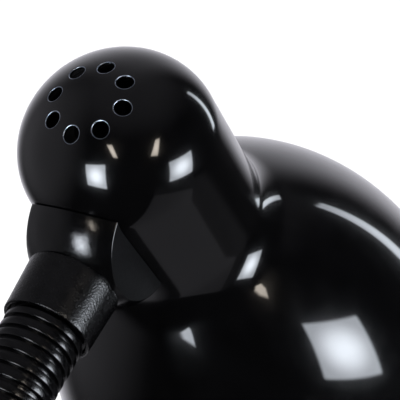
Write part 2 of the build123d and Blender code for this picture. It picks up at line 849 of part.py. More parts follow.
with BuildPart() as terminal_block:
    with BuildSketch(Plane.XY.offset(cover_bottom)):
        with Locations((0, terminal_y)):
            Rectangle(26, 16)
    extrude(amount=terminal_height)
    with BuildSketch(Plane(origin=(0, terminal_y, cover_bottom + 5), x_dir=(1, 0, 0), z_dir=(0, 1, 0))):
        with GridLocations(terminal_pitch, 0, 3, 1):
            Circle(wire_radius)
    extrude(amount=10, both=True, mode=Mode.SUBTRACT)
    with BuildSketch(Plane.XY.offset(cover_bottom + terminal_height)):
        with Locations((0, terminal_y)):
            with GridLocations(terminal_pitch, terminal_pitch, 3, 2):
                Circle(terminal_screw_radius + 0.05)
    extrude(amount=-6.5, mode=Mode.SUBTRACT)
save(terminal_block.part, "terminal_block")
with BuildPart() as terminal_screws:
    with BuildSketch(Plane.XY.offset(cover_bottom + 7)):
        with Locations((0, terminal_y)):
            with GridLocations(terminal_pitch, terminal_pitch, 3, 2):
                Circle(terminal_screw_radius)
    extrude(amount=4)
save(terminal_screws.part, "terminal_screws")
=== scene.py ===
import json
from math import acos, asin, atan2, cos, pi, radians, sin, sqrt, tan

import bmesh
import bpy
from mathutils import Matrix, Vector


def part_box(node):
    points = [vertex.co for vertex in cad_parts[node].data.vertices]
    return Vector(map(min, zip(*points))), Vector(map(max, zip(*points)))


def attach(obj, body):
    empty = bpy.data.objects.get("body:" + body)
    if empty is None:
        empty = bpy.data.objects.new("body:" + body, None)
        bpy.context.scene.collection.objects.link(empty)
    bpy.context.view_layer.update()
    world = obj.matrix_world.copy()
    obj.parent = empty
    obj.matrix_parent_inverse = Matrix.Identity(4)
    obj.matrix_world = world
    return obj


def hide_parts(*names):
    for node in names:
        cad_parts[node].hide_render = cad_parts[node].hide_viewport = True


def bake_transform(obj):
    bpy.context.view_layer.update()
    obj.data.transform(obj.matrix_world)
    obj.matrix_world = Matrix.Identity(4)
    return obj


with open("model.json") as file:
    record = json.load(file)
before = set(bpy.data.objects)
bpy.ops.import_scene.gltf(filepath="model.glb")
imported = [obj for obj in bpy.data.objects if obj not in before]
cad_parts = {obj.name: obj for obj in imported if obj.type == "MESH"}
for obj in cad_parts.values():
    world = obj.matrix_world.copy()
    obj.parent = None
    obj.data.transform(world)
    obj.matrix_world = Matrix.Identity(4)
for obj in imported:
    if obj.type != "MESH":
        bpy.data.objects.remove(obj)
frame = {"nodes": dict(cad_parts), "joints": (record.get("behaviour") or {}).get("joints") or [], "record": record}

# Gooseneck desk lamp. Profiles and sizes are in millimetres, points of the frame in metres.
MM = 0.001
SHARP = radians(38)
WELD = 1e-7
POLE_MM = 1e-6
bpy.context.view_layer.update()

# ---------------------------------------------------------------- places taken from the frame
joints = {joint["name"]: joint for joint in frame["joints"]}
mounts = {mount["name"]: mount for mount in frame["record"]["mounts"]}
nodes = frame["nodes"]

LATERAL = Vector((1, 0, 0))
UP = Vector((0, 0, 1))
ORIGIN = Vector((0, 0, 0))
along = Vector(mounts["bulb_socket"]["axis"]).normalized()
out = LATERAL.cross(along)
ball = Vector(joints["head_tilt"]["pos_m"])

# Shade and knuckle, as the CAD has them.
HOUSING_RADIUS = 27.0
DOME_HEIGHT = 23.3
HOUSING_LENGTH = 33.2
HOUSING_END_RADIUS = 25.95
FLARE_FILLET = 15.0
FLARE_ANGLE = radians(44.1)
BELL_CURVE = 90.0
SKIRT_LENGTH = 12.0
SHADE_WALL = 0.8
RIM_BEAD = 1.3
VENT_RADIUS = 2.2
VENT_RING = 10.35
VENT_COUNT = 8
BALL_ALONG = 10.6
BALL_OUT = 19.6
BALL_RADIUS = 20.4
CHEEK_HALF = 13.2
centre = ball - (along * BALL_ALONG + out * BALL_OUT) * MM


def head_point(a, o, x=0.0):
    return centre + (along * a + out * o + LATERAL * x) * MM


# ---------------------------------------------------------------- mesh helpers
def fractions(count, first=0):
    """Even steps from first/count up to 1."""
    return [k / count for k in range(first, count + 1)]


def finish_mesh(mesh, sharp_angle):
    """Faces outward, smooth shading, and a hard edge wherever two faces meet at more than an angle."""
    shape = bmesh.new()
    shape.from_mesh(mesh)
    bmesh.ops.remove_doubles(shape, verts=shape.verts, dist=WELD)
    bmesh.ops.recalc_face_normals(shape, faces=shape.faces)
    for face in shape.faces:
        face.smooth = True
    for edge in shape.edges:
        edge.smooth = edge.is_manifold and edge.calc_face_angle(0) < sharp_angle
    shape.to_mesh(mesh)
    shape.free()
    mesh.update()


def make(name, verts, faces, sharp_angle=SHARP):
    mesh = bpy.data.meshes.new(name)
    mesh.from_pydata([tuple(v) for v in verts], [], faces)
    finish_mesh(mesh, sharp_angle)
    piece = bpy.data.objects.new(name, mesh)
    bpy.context.scene.collection.objects.link(piece)
    return piece


def dress(piece, slot, *stands_for):
    """Gives a piece its record slot's material, and hides the CAD nodes that it stands for."""
    piece.data.materials.clear()
    piece.data.materials.append(looks[slot])
    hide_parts(*stands_for)
    return piece


def rounded(points, closed=True, steps=4):
    """Profile whose corners are arcs. A point is (radius, distance), with its fillet's radius third."""
    result = []
    for k, point in enumerate(points):
        corner = Vector(point[:2])
        fillet = point[2] if len(point) > 2 else 0
        if not fillet or (not closed and k in (0, len(points) - 1)):
            result.append(corner)
            continue
        before = (Vector(points[k - 1][:2]) - corner).normalized()
        after = (Vector(points[(k + 1) % len(points)][:2]) - corner).normalized()
        half = before.angle(after) / 2
        middle = corner + (before + after).normalized() * (fillet / sin(half))
        first = corner + before * (fillet / tan(half)) - middle
        last = corner + after * (fillet / tan(half)) - middle
        turn = first.angle(last)
        for part in fractions(steps):
            result.append(middle + (first * sin((1 - part) * turn) + last * sin(part * turn)) / sin(turn))
    return result


def lathe(name, profile, origin, axis, turns=128, closed=True, sharp_angle=SHARP):
    """Solid of revolution of a profile of (radius, distance along the axis). A radius of 0 is a pole."""
    side = LATERAL if abs(axis.dot(LATERAL)) < 0.9 else UP
    side = (side - axis * side.dot(axis)).normalized()
    other = axis.cross(side)
    verts = []
    rows = []
    for radius, distance in profile:
        middle = origin + axis * (distance * MM)
        if radius < POLE_MM:
            rows.append([len(verts)] * turns)
            verts.append(middle)
            continue
        rows.append(list(range(len(verts), len(verts) + turns)))
        for k in range(turns):
            angle = 2 * pi * k / turns
            verts.append(middle + (side * cos(angle) + other * sin(angle)) * (radius * MM))
    pairs = list(zip(rows, rows[1:] + rows[:1])) if closed else list(zip(rows, rows[1:]))
    faces = []
    for low, high in pairs:
        if low[0] == low[1] and high[0] == high[1]:
            continue
        for k in range(turns):
            n = (k + 1) % turns
            corners = [low[k], low[n], high[n], high[k]]
            faces.append(list(dict.fromkeys(corners)))
    return make(name, verts, faces, sharp_angle)


def carve(piece, *cutters, sharp_angle=radians(30)):
    """Subtracts cutters, which are then removed, and works out the hard edges anew."""
    for cutter in cutters:
        modifier = piece.modifiers.new("carve", "BOOLEAN")
        modifier.operation = "DIFFERENCE"
        modifier.solver = "EXACT"
        modifier.object = cutter
    bpy.context.view_layer.update()
    graph = bpy.context.evaluated_depsgraph_get()
    carved = bpy.data.meshes.new_from_object(piece.evaluated_get(graph))
    piece.modifiers.clear()
    piece.data = carved
    finish_mesh(carved, sharp_angle)
    for cutter in cutters:
        bpy.data.objects.remove(cutter)
    return piece


def prism(name, outline, origin, x_axis, y_axis, low, high):
    """Straight prism of a flat outline in millimetres, from low to high along the outline's normal."""
    normal = x_axis.cross(y_axis)
    verts = []
    for level in (low, high):
        verts += [origin + (x_axis * x + y_axis * y + normal * level) * MM for x, y in outline]
    count = len(outline)
    faces = [list(range(count)), list(range(2 * count - 1, count - 1, -1))]
    faces += [[k, (k + 1) % count, count + (k + 1) % count, count + k] for k in range(count)]
    return make(name, verts, faces)


def block(width, depth):
    """Rectangle about the origin."""
    x, y = width / 2, depth / 2
    return [(-x, -y), (x, -y), (x, y), (-x, y)]


# ---------------------------------------------------------------- materials
def map_range(tree, source, start, end, low, high, interpolation="LINEAR"):
    """A value carried from start..end to low..high."""
    node = tree.nodes.new("ShaderNodeMapRange")
    node.interpolation_type = interpolation
    for socket, value in zip(("From Min", "From Max", "To Min", "To Max"), (start, end, low, high)):
        node.inputs[socket].default_value = value
    tree.links.new(source, node.inputs["Value"])
    return node.outputs["Result"]


def arithmetic(tree, operation, a, b):
    node = tree.nodes.new("ShaderNodeMath")
    node.operation = operation
    tree.links.new(a, node.inputs[0])
    tree.links.new(b, node.inputs[1])
    return node.outputs["Value"]


class Nodes:
    """One material's nodes, with short ways to add them."""

    def __init__(self, name):
        self.material = bpy.data.materials.new(name)
        self.material.use_nodes = True
        self.tree = self.material.node_tree
        self.shader = self.tree.nodes["Principled BSDF"]
        self.place = self.tree.nodes.new("ShaderNodeTexCoord").outputs["Object"]
        self.normal = None

    def link(self, source, target):
        self.tree.links.new(source, target)

    def noise(self, grain_mm, detail=3.0, stretch=(1, 1, 1)):
        """Noise whose cells are about grain_mm across."""
        node = self.tree.nodes.new("ShaderNodeTexNoise")
        node.inputs["Scale"].default_value = 1 / (grain_mm * MM)
        node.inputs["Detail"].default_value = detail
        node.inputs["Roughness"].default_value = 0.55
        scaled = self.tree.nodes.new("ShaderNodeMapping")
        scaled.inputs["Scale"].default_value = stretch
        self.link(self.place, scaled.inputs["Vector"])
        self.link(scaled.outputs["Vector"], node.inputs["Vector"])
        return node.outputs["Fac"]

    def pebbles(self, grain_mm):
        """Cells like leather grain, about grain_mm across."""
        node = self.tree.nodes.new("ShaderNodeTexVoronoi")
        node.feature = "SMOOTH_F1"
        node.inputs["Scale"].default_value = 1 / (grain_mm * MM)
        node.inputs["Smoothness"].default_value = 0.6
        self.link(self.place, node.inputs["Vector"])
        return node.outputs["Distance"]

    def colour(self, source, dark, light):
        """Base colour between dark and light, following most of a noise's usual range."""
        ramp = self.tree.nodes.new("ShaderNodeValToRGB")
        for element, position, shade in zip(ramp.color_ramp.elements, (0.35, 0.65), (dark, light)):
            element.position = position
            element.color = (*shade, 1)
        self.link(source, ramp.inputs["Fac"])
        self.link(ramp.outputs["Color"], self.shader.inputs["Base Color"])

    def roughness(self, source, low, high):
        """Roughness between low and high, following most of a noise's usual range."""
        self.link(map_range(self.tree, source, 0.3, 0.7, low, high), self.shader.inputs["Roughness"])

    def bump(self, source, depth_mm):
        """Relief of a depth, laid over any relief added before."""
        node = self.tree.nodes.new("ShaderNodeBump")
        node.inputs["Distance"].default_value = depth_mm * MM
        node.inputs["Strength"].default_value = 1.0
        self.link(source, node.inputs["Height"])
        if self.normal is not None:
            self.link(self.normal, node.inputs["Normal"])
        self.normal = node.outputs["Normal"]

    def done(self, **sockets):
        """Sets the shader's own sockets, given by their names in lower case, and returns the material."""
        for socket, value in sockets.items():
            self.shader.inputs[socket.replace("_", " ").title().replace("Ior", "IOR")].default_value = value
        if self.normal is not None:
            self.link(self.normal, self.shader.inputs["Normal"])
        return self.material


def enamel(name, dark, light, rough=(0.16, 0.24)):
    """Gloss enamel: a softer coloured layer under a clear coat with a faint orange peel."""
    m = Nodes(name)
    m.colour(m.noise(9.0), dark, light)
    m.roughness(m.noise(4.0, 4.0), *rough)
    m.bump(m.noise(2.6, 1.0), 0.0035)
    return m.done(coat_weight=1.0, coat_roughness=0.04, coat_ior=1.5, specular_ior_level=0.1)


def moulding(name, dark, light, rough, grain_mm, depth_mm, specular=0.5):
    """Moulded plastic with a fine stipple."""
    m = Nodes(name)
    m.colour(m.noise(6.0), dark, light)
    m.roughness(m.noise(1.1, 4.0), *rough)
    m.bump(m.noise(grain_mm, 2.0), depth_mm)
    return m.done(ior=1.47, specular_ior_level=specular)


def leather_grain(name, dark, light, rough, grain_mm, depth_mm):
    """Plastic moulded with a pebbled grain."""
    m = Nodes(name)
    m.colour(m.noise(3.0), dark, light)
    m.roughness(m.noise(0.9, 4.0), *rough)
    m.bump(m.pebbles(grain_mm), depth_mm)
    m.bump(m.noise(grain_mm / 3, 3.0), depth_mm / 3)
    return m.done(ior=1.47)


def metal(name, dark, light, rough, stretch=(1, 1, 1), depth_mm=0.01):
    """Metal with fine scratches, which a stretch lines up."""
    m = Nodes(name)
    m.colour(m.noise(2.0, 4.0), dark, light)
    m.roughness(m.noise(0.7, 4.0, stretch), *rough)
    m.bump(m.noise(0.35, 3.0, stretch), depth_mm)
    return m.done(metallic=1.0)


# Each look: its maker, dark and light colour, least and greatest roughness, and the maker's own sizes.
recipes = {
    "black_enamel": (enamel, (0.0008, 0.0008, 0.0010), (0.0014, 0.0014, 0.0017)),
    "white_enamel": (enamel, (0.78, 0.78, 0.76), (0.84, 0.84, 0.83), (0.25, 0.35)),
    "knuckle_plastic": (
        moulding, (0.0008, 0.0008, 0.0010), (0.0016, 0.0016, 0.0020), (0.12, 0.22), 1.0, 0.022
    ),
    "cheek_plastic": (
        moulding, (0.0006, 0.0006, 0.0008), (0.0022, 0.0022, 0.0027), (0.34, 0.5), 0.6, 0.012, 0.15
    ),
    "grained_plastic": (
        leather_grain, (0.0006, 0.0006, 0.0008), (0.0016, 0.0016, 0.002), (0.2, 0.3), 0.48, 0.055
    ),
    "sleeve_plastic": (
        moulding, (0.0006, 0.0006, 0.0008), (0.0014, 0.0014, 0.0018), (0.14, 0.26), 0.6, 0.032
    ),
    "bare_edge": (metal, (0.30, 0.36, 0.46), (0.62, 0.68, 0.78), (0.28, 0.42), (1, 1, 1), 0.05),
    "neck_steel": (metal, (0.42, 0.42, 0.44), (0.56, 0.56, 0.58), (0.3, 0.45)),
    "black_steel": (metal, (0.010, 0.010, 0.011), (0.020, 0.020, 0.021), (0.4, 0.55)),
    "zinc_steel": (metal, (0.55, 0.56, 0.58), (0.68, 0.68, 0.70), (0.25, 0.4)),
    "brass": (metal, (0.66, 0.48, 0.22), (0.80, 0.62, 0.32), (0.2, 0.34), (1, 1, 1), 0.006),
    "holder_plastic": (moulding, (0.012, 0.012, 0.013), (0.020, 0.020, 0.021), (0.3, 0.42), 0.6, 0.012),
    "porcelain_block": (moulding, (0.74, 0.71, 0.62), (0.82, 0.80, 0.74), (0.3, 0.45), 1.2, 0.02),
    "iron": (metal, (0.10, 0.10, 0.11), (0.20, 0.19, 0.19), (0.6, 0.8), (1, 1, 1), 0.08),
    "plate_steel": (metal, (0.40, 0.40, 0.42), (0.50, 0.50, 0.52), (0.35, 0.5), (1, 12, 1)),
    "foam_rubber": (moulding, (0.018, 0.018, 0.019), (0.034, 0.034, 0.034), (0.85, 0.95), 0.7, 0.12),
    "soft_rubber": (moulding, (0.014, 0.014, 0.014), (0.022, 0.022, 0.022), (0.6, 0.75), 0.5, 0.02),
    "switch_plastic": (moulding, (0.009, 0.009, 0.010), (0.013, 0.013, 0.014), (0.14, 0.24), 0.9, 0.004),
}
looks = {slot: maker(slot, *settings) for slot, (maker, *settings) in recipes.items()}
for row in frame["record"]["subparts"]:
    shown = nodes[row["node"]].data
    shown.materials.clear()
    shown.materials.append(looks[row["material_slot"]])

# ---------------------------------------------------------------- shade
FILLET_END_ALONG = HOUSING_LENGTH + FLARE_FILLET * sin(FLARE_ANGLE)
FILLET_END_OUT = HOUSING_END_RADIUS + FLARE_FILLET * (1 - cos(FLARE_ANGLE))
BELL_END_ALONG = FILLET_END_ALONG + BELL_CURVE * sin(FLARE_ANGLE)
BELL_RADIUS = FILLET_END_OUT + BELL_CURVE * (1 - cos(FLARE_ANGLE))
SHADE_END = BELL_END_ALONG + SKIRT_LENGTH
VENT_FIELD = (6.4, 14.9)
VENT_EDGE = 0.22
VENT_DEPTH = 0.8 * SHADE_WALL
PATCH_GROWTH = 1.3
WHITE_FROM = HOUSING_LENGTH + 4


def dome_rise(radius, inset):
    """How far the dome's surface rises above the housing's end, at a distance from the axis."""
    return (DOME_HEIGHT - inset) * sqrt(max(1 - (radius / (HOUSING_RADIUS - inset)) ** 2, 0))


def wall_profile(inset):
    """Profile from the vents' field to the mouth, as (radius, along), set in from the outside."""
    rows = []
    start = asin(VENT_FIELD[1] / (HOUSING_RADIUS - inset))
    for part in fractions(26):
        angle = start + (pi / 2 - start) * part
        rows.append(((HOUSING_RADIUS - inset) * sin(angle), -(DOME_HEIGHT - inset) * cos(angle)))
    for part in fractions(12, 1)[:-1]:
        radius = HOUSING_RADIUS + (HOUSING_END_RADIUS - HOUSING_RADIUS) * part
        rows.append((radius - inset, HOUSING_LENGTH * part))
    for part in fractions(14):
        angle = FLARE_ANGLE * part
        reach = FLARE_FILLET + inset
        radius = HOUSING_END_RADIUS + FLARE_FILLET - reach * cos(angle)
        rows.append((radius, HOUSING_LENGTH + reach * sin(angle)))
    for part in fractions(40, 1):
        angle = FLARE_ANGLE * (1 - part)
        reach = BELL_CURVE - inset
        rows.append((BELL_RADIUS - BELL_CURVE + reach * cos(angle), BELL_END_ALONG - reach * sin(angle)))
    for part in fractions(3, 1):
        rows.append((BELL_RADIUS - inset, BELL_END_ALONG + (SKIRT_LENGTH - RIM_BEAD) * part))
    return rows


def bead_profile():
    """The rolled bead round the mouth, from the outer face to the inner one."""
    middle = BELL_RADIUS - RIM_BEAD / 2
    start = asin(0.5)
    end = 2 * pi - asin((RIM_BEAD / 2 - SHADE_WALL) / RIM_BEAD)
    rows = []
    for part in fractions(18):
        angle = start + (end - start) * part
        rows.append((middle + RIM_BEAD * sin(angle), SHADE_END - RIM_BEAD * cos(angle)))
    return rows


def shade_mesh():
    """Vertices, the vents' rims and the other faces of the spun shell, whose dome has eight vents.

    The dome is a crown inside the vents' ring and a patch of quads round each vent.
    """
    per_side = 24
    turns = VENT_COUNT * per_side
    half_sector = pi / VENT_COUNT
    verts = []
    rim_faces = []
    outer_faces = []
    inner_faces = []

    def put(radius, angle, rise):
        """Vertex at a height above the housing's end."""
        x, y = radius * cos(angle), radius * sin(angle)
        verts.append(centre + (out * x + LATERAL * y - along * rise) * MM)
        return len(verts) - 1

    def on_dome(radius, angle, inset, drop=0):
        """Vertex on the dome, or a drop below it."""
        return put(radius, angle, dome_rise(radius, inset) - drop)

    def join(rows, target):
        """Faces between each two neighbouring rings of vertices."""
        for low, high in zip(rows, rows[1:]):
            for k in range(len(low)):
                n = (k + 1) % len(low)
                target.append(list(dict.fromkeys([low[k], low[n], high[n], high[k]])))

    angles = [2 * half_sector * k / per_side - half_sector for k in range(turns)]
    for inset, target in ((0, outer_faces), (SHADE_WALL, inner_faces)):
        crown = [[on_dome(0, 0, inset)] * turns]
        for part in fractions(8, 1):
            crown.append([on_dome(VENT_FIELD[0] * part, angle, inset) for angle in angles])
        join(crown, target)

    def sector_border(middle):
        """Points round the border of a vent's patch, as (radius, angle)."""
        inner, outer = VENT_FIELD
        arc = [middle - half_sector + 2 * half_sector * k / per_side for k in range(per_side)]
        reach = [inner + (outer - inner) * k / per_side for k in range(per_side)]
        border = [(outer, angle) for angle in arc]
        border += [(inner + outer - r, middle + half_sector) for r in reach]
        border += [(inner, 2 * middle - angle) for angle in arc]
        border += [(r, middle - half_sector) for r in reach]
        return border

    for vent in range(VENT_COUNT):
        middle = 2 * half_sector * vent
        hole = (VENT_RING * cos(middle), VENT_RING * sin(middle))
        border = [(r * cos(angle), r * sin(angle)) for r, angle in sector_border(middle)]
        bearings = [atan2(y - hole[1], x - hole[0]) for x, y in border]

        def ring(radius, inset, drop=0, part=0):
            """Ring round the hole, moved by part of the way to the patch's border."""
            made = []
            for (x, y), angle in zip(border, bearings):
                u, v = hole[0] + radius * cos(angle), hole[1] + radius * sin(angle)
                u, v = u + (x - u) * part, v + (y - v) * part
                made.append(on_dome(sqrt(u * u + v * v), atan2(v, u), inset, drop))
            return made

        def patch(radius, inset, target):
            """Quads from the hole out to the patch's border, finer near the hole. Returns the hole's ring."""
            rows = [ring(radius, inset, 0, part**PATCH_GROWTH) for part in fractions(9)]
            join(rows, target)
            return rows[0]

        edge = [patch(VENT_RADIUS + VENT_EDGE, 0, outer_faces)]
        for part in fractions(6, 1):
            angle = pi / 2 * part
            edge.append(ring(VENT_RADIUS + VENT_EDGE * (1 - sin(angle)), 0, VENT_EDGE * (1 - cos(angle))))
        join(edge, rim_faces)
        lining = ring(VENT_RADIUS, 0, VENT_DEPTH)
        join([edge[-1], lining, patch(VENT_RADIUS, SHADE_WALL, inner_faces)], outer_faces)

    def rings(profile):
        return [[put(radius, angle, -level) for angle in angles] for radius, level in profile]

    bead = rings(bead_profile())
    inner = rings(wall_profile(SHADE_WALL))
    join(rings(wall_profile(0)) + bead, outer_faces)
    join([bead[-1], inner[-1]], outer_faces)
    join(inner, inner_faces)
    return verts, rim_faces, outer_faces + inner_faces


shade_verts, vent_rims, shade_faces = shade_mesh()
shade = make("shade_shell", shade_verts, vent_rims + shade_faces)
dress(shade, "black_enamel", "shade")
shade.data.materials.append(looks["white_enamel"])
shade.data.materials.append(looks["bare_edge"])
for face in shade.data.polygons:
    level = (face.center - centre).dot(along) / MM
    away = face.center - centre - along * (level * MM)
    if face.normal.dot(away) < 0 and WHITE_FROM < level < SHADE_END - RIM_BEAD:
        face.material_index = 1
    elif face.index < len(vent_rims):
        face.material_index = 2

OPENING_HALF_LENGTH = 13.4
OPENING_HALF_WIDTH = 8.2
SCREW_OFFSET = 15.3
SCREW_HOLE = 1.4
CUT_FROM = 10
CUT_TO = 40


def opening_outline():
    """Oval under the knuckle, for the joint's stud and the flex."""
    straight_half = OPENING_HALF_LENGTH - OPENING_HALF_WIDTH
    outline = []
    points = 48
    for k in range(points):
        angle = 2 * pi * (k + 0.5) / points
        side = straight_half if cos(angle) > 0 else -straight_half
        outline.append((side + OPENING_HALF_WIDTH * cos(angle), OPENING_HALF_WIDTH * sin(angle)))
    return outline


def screw_cutters():
    """Cylinders for the two screws that hold the knuckle to the housing."""
    profile = [(0, CUT_FROM), (SCREW_HOLE, CUT_FROM), (SCREW_HOLE, CUT_TO), (0, CUT_TO)]
    return [
        lathe("screw_cutter", profile, head_point(BALL_ALONG + side * SCREW_OFFSET, 0), out, 32, closed=False)
        for side in (-1, 1)
    ]


carve(
    shade,
    prism("opening_cutter", opening_outline(), head_point(BALL_ALONG, 0), along, -LATERAL, CUT_FROM, CUT_TO),
    *screw_cutters(),
)
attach(shade, "head")

# ---------------------------------------------------------------- knuckle
SEAM_GAP = 0.4
CHEEK_EDGE = 0.45
EDGE_MARGIN = 0.02
FLAT = 0.05
CAVITY_RADIUS = 16.5
CAVITY_HALF = 9.6
STUD_SLOT = 5.25
SLOT_TURN = radians(18)
SLOT_REACH = (10, 26)


def knuckle_profile():
    """Half section of the ball about its cheeks' axis, from one cheek's middle to the other's."""
    cheek_radius = sqrt(BALL_RADIUS**2 - CHEEK_HALF**2)
    widest = asin(CHEEK_HALF / BALL_RADIUS) - EDGE_MARGIN
    steps = 24
    turns = [widest * k / steps for k in range(-steps, steps + 1)]
    arc = [(BALL_RADIUS * cos(turn), BALL_RADIUS * sin(turn)) for turn in turns]
    rows = [(0, -CHEEK_HALF), (cheek_radius * 0.5, -CHEEK_HALF), (cheek_radius, -CHEEK_HALF, CHEEK_EDGE)]
    rows += arc
    rows += [(cheek_radius, CHEEK_HALF, CHEEK_EDGE), (cheek_radius * 0.5, CHEEK_HALF), (0, CHEEK_HALF)]
    return rounded(rows, closed=False, steps=5)


def housing_cutter(gap):
    """Solid of the housing, a gap larger all round."""
    rows = [(0, -DOME_HEIGHT - gap)]
    for part in fractions(40, 1):
        angle = pi / 2 * part
        rows.append(((HOUSING_RADIUS + gap) * sin(angle), -(DOME_HEIGHT + gap) * cos(angle)))
    rows += [(HOUSING_END_RADIUS + gap, HOUSING_LENGTH), (0, HOUSING_LENGTH)]
    return lathe("housing_cutter", rows, centre, along, 192, closed=False)


def slot_outline():
    """Sector that the stud swings in, seen along the cheeks' axis."""
    outline = []
    for side, reaches in ((1, SLOT_REACH), (-1, SLOT_REACH[::-1])):
        turn = side * SLOT_TURN
        across = side * STUD_SLOT
        for reach in reaches:
            outline.append((reach * sin(turn) + across * cos(turn), reach * cos(turn) - across * sin(turn)))
    return outline


knuckle = lathe("knuckle_ball", knuckle_profile(), ball, LATERAL, 256, closed=False)
cavity_profile = [(0, -CAVITY_HALF), (CAVITY_RADIUS, -CAVITY_HALF)]
cavity_profile += [(CAVITY_RADIUS, CAVITY_HALF), (0, CAVITY_HALF)]
carve(
    knuckle,
    housing_cutter(SEAM_GAP),
    lathe("cavity_cutter", cavity_profile, ball, LATERAL, 96, closed=False),
    prism("slot_cutter", slot_outline(), ball, along, out, -STUD_SLOT, STUD_SLOT),
)
dress(knuckle, "knuckle_plastic", "knuckle")
knuckle.data.materials.append(looks["cheek_plastic"])
for face in knuckle.data.polygons:
    if abs(face.normal.dot(LATERAL)) > 0.99 and abs(face.center.x) > (CHEEK_HALF - FLAT) * MM:
        face.material_index = 1
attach(knuckle, "head")

# ---------------------------------------------------------------- collar
COLLAR_TOP = 12.7
COLLAR_LOW = 12.15
COLLAR_END = 31.9
COLLAR_FLOOR = 23.3
COLLAR_BORE = 11.2
SEAT = BALL_RADIUS + 0.06
STUD_HOLE = 5.1
LIP_WIDTH = 0.5
LIP_FILLET = 0.34
COLLAR_FILLET = 0.3
collar_axis = (Vector(joints["neck_side_bend_5"]["pos_m"]) - ball).normalized()


def collar_profile():
    """Spherical seat, rim, slightly conical outside and the bore for the neck."""
    lip = sqrt(SEAT**2 - COLLAR_TOP**2) + 0.12
    first, last = asin(STUD_HOLE / SEAT), asin((COLLAR_TOP - LIP_WIDTH) / SEAT)
    turns = [first + (last - first) * part for part in fractions(16)]
    rows = [(SEAT * sin(turn), SEAT * cos(turn)) for turn in turns]
    rows += [(COLLAR_TOP, lip, LIP_FILLET), (COLLAR_TOP - 0.05, lip + 1.48)]
    rows += [(COLLAR_LOW + 0.04, COLLAR_END - 1.2), (COLLAR_LOW, COLLAR_END, COLLAR_FILLET)]
    rows += [(COLLAR_BORE, COLLAR_END, COLLAR_FILLET), (COLLAR_BORE, COLLAR_FLOOR), (STUD_HOLE, COLLAR_FLOOR)]
    return rounded(rows)


collar = lathe("collar_moulding", collar_profile(), ball, collar_axis, 192)
dress(collar, "grained_plastic", "collar")
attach(collar, "neck_top")

# ---------------------------------------------------------------- neck
SPAN = 20.7
SPANS = 10
RIB_PITCH = 3.45
RIB_WIDTH = 2.05
CREST = 10.9
VALLEY = 9.7
RIB_CORNER = 0.32
RIB_CLEARANCE = 0.3
SLEEVE_BORE = 9.2
CORE_RADIUS = 8.6
CORE_BORE = 4.7
WINDING_PITCH = 2.4
WINDING_DEPTH = 0.35
SOCKET_DEPTH = 8
INSERTED_BELOW = 7.5
INSERTED_ABOVE = COLLAR_END - COLLAR_FLOOR - 0.4
BEND_RADIUS = 110.0
foot_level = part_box("base_socket")[1].z / MM
lean = acos(-collar_axis.z)
last_hinge = Vector(joints["neck_side_bend_5"]["pos_m"]) / MM
straight = last_hinge.z - foot_level - BEND_RADIUS * sin(lean)


def neck_at(distance):
    """Point and direction of the neck's centreline, in millimetres, at a distance above the base's socket."""
    angle = min(max(distance - straight, 0) / BEND_RADIUS, lean)
    past = max(distance - straight - BEND_RADIUS * lean, 0)
    heading = Vector((0, -sin(angle), cos(angle)))
    rise = Vector((0, -BEND_RADIUS * (1 - cos(angle)), BEND_RADIUS * sin(angle)))
    level = foot_level + min(distance, straight)
    return Vector((0, 0, level)) + rise + heading * past, heading


def neck_tube(name, outer, inner, turns):
    """Closed tube about the centreline, with an outer and an inner outline of (radius, distance)."""
    verts = []
    for radius, distance in outer + inner[::-1]:
        point, heading = neck_at(distance)
        other = heading.cross(LATERAL)
        for k in range(turns):
            angle = 2 * pi * k / turns
            verts.append((point + (LATERAL * cos(angle) + other * sin(angle)) * radius) * MM)
    count = len(outer) + len(inner)
    faces = []
    for row in range(count):
        low, high = row * turns, (row + 1) % count * turns
        faces += [[low + k, low + (k + 1) % turns, high + (k + 1) % turns, high + k] for k in range(turns)]
    return make(name, verts, faces, radians(50))


def ribs(start, end):
    """Outline of the ribbed sleeve: flat crests with rounded corners over a slightly domed floor."""
    gap = RIB_PITCH - RIB_WIDTH
    rows = [(VALLEY, start)]
    for k in range(int(start // RIB_PITCH) - 1, int(end // RIB_PITCH) + 2):
        low = k * RIB_PITCH + gap / 2
        high = low + RIB_WIDTH
        if low - RIB_CLEARANCE < start or high + RIB_CLEARANCE > end:
            continue
        rib = [(VALLEY, low - 0.05), (VALLEY + 0.1, low), (CREST, low, RIB_CORNER)]
        rib += [(CREST, high, RIB_CORNER * 0.6), (VALLEY + 0.1, high), (VALLEY, high + 0.05)]
        rows += [tuple(p) for p in rounded(rib, closed=False)]
        rows.append((VALLEY + 0.12, high + gap / 2 - 0.001))
    if rows[-1][1] > end:
        rows.pop()
    rows.append((VALLEY, end))
    return rows


def windings(start, end):
    """Outline of the wound steel core."""
    count = int((end - start) / WINDING_PITCH * 6)
    places = [start + (end - start) * part for part in fractions(count)]
    return [(CORE_RADIUS - WINDING_DEPTH * abs(cos(pi * place / WINDING_PITCH)), place) for place in places]


def bore(radius, start, end):
    """Straight inside of a tube."""
    return [(radius, start + (end - start) * part) for part in fractions(20)]


for number in range(1, SPANS + 1):
    start, end = (number - 1) * SPAN, number * SPAN
    first = start - INSERTED_BELOW if number == 1 else start
    last = end + INSERTED_ABOVE if number == SPANS else end
    sleeve = neck_tube(f"ribbed_sleeve_{number}", ribs(first, last), bore(SLEEVE_BORE, first, last), 96)
    core = neck_tube(f"wound_core_{number}", windings(first, last), bore(CORE_BORE, first, last), 40)
    names = [str(number)] if number < SPANS else ["top"]
    if number == 1:
        names.append("foot")
    dress(sleeve, "sleeve_plastic", *[f"neck_sleeve_{name}" for name in names])
    dress(core, "neck_steel", *[f"neck_core_{name}" for name in names])
    for piece in (sleeve, core):
        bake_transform(piece)

